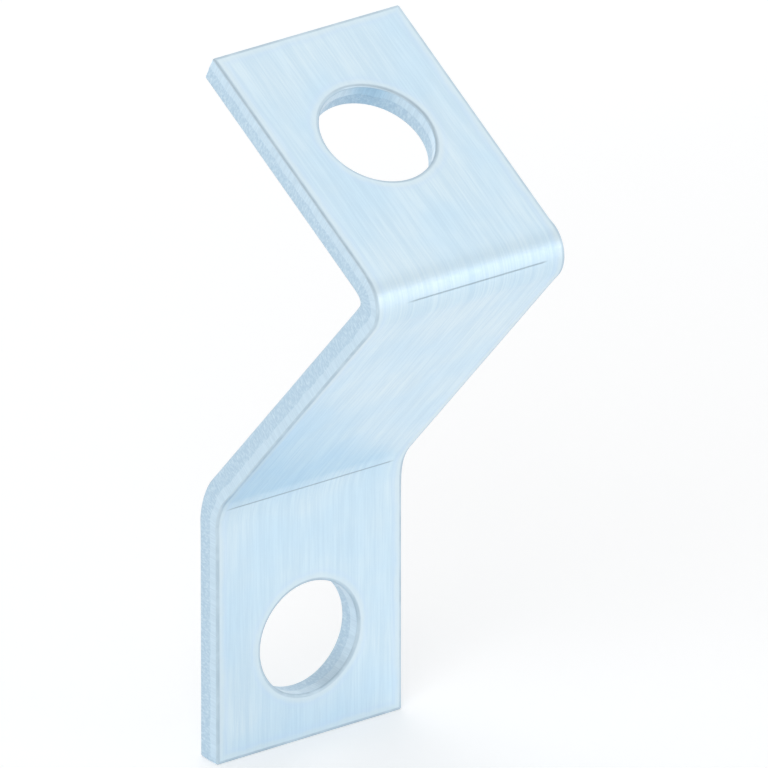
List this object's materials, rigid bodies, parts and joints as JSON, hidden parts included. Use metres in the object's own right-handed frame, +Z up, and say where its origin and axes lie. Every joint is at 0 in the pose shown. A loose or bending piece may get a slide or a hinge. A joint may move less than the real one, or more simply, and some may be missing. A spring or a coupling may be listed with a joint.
{
  "type": "din rail bracket",
  "caption": "Bent sheet-steel strip that bolts to a wall or plate by its lower leg and holds a DIN rail, tilted up to the front, on its sloping upper leg.",
  "frame": {"origin": "centre of the fixing hole on the back face of the lower leg, where it meets the wall", "axes": "+X across the strip to the right, +Z up the wall, and the front faces -Y, the way the fixing screw comes out"},
  "size_m": [0.02, 0.0259, 0.0665],
  "materials": {
    "zinc_plated_steel": "satin"
  },
  "bodies": {
    "root": {"bracket": "zinc_plated_steel"}
  },
  "joints": []
}
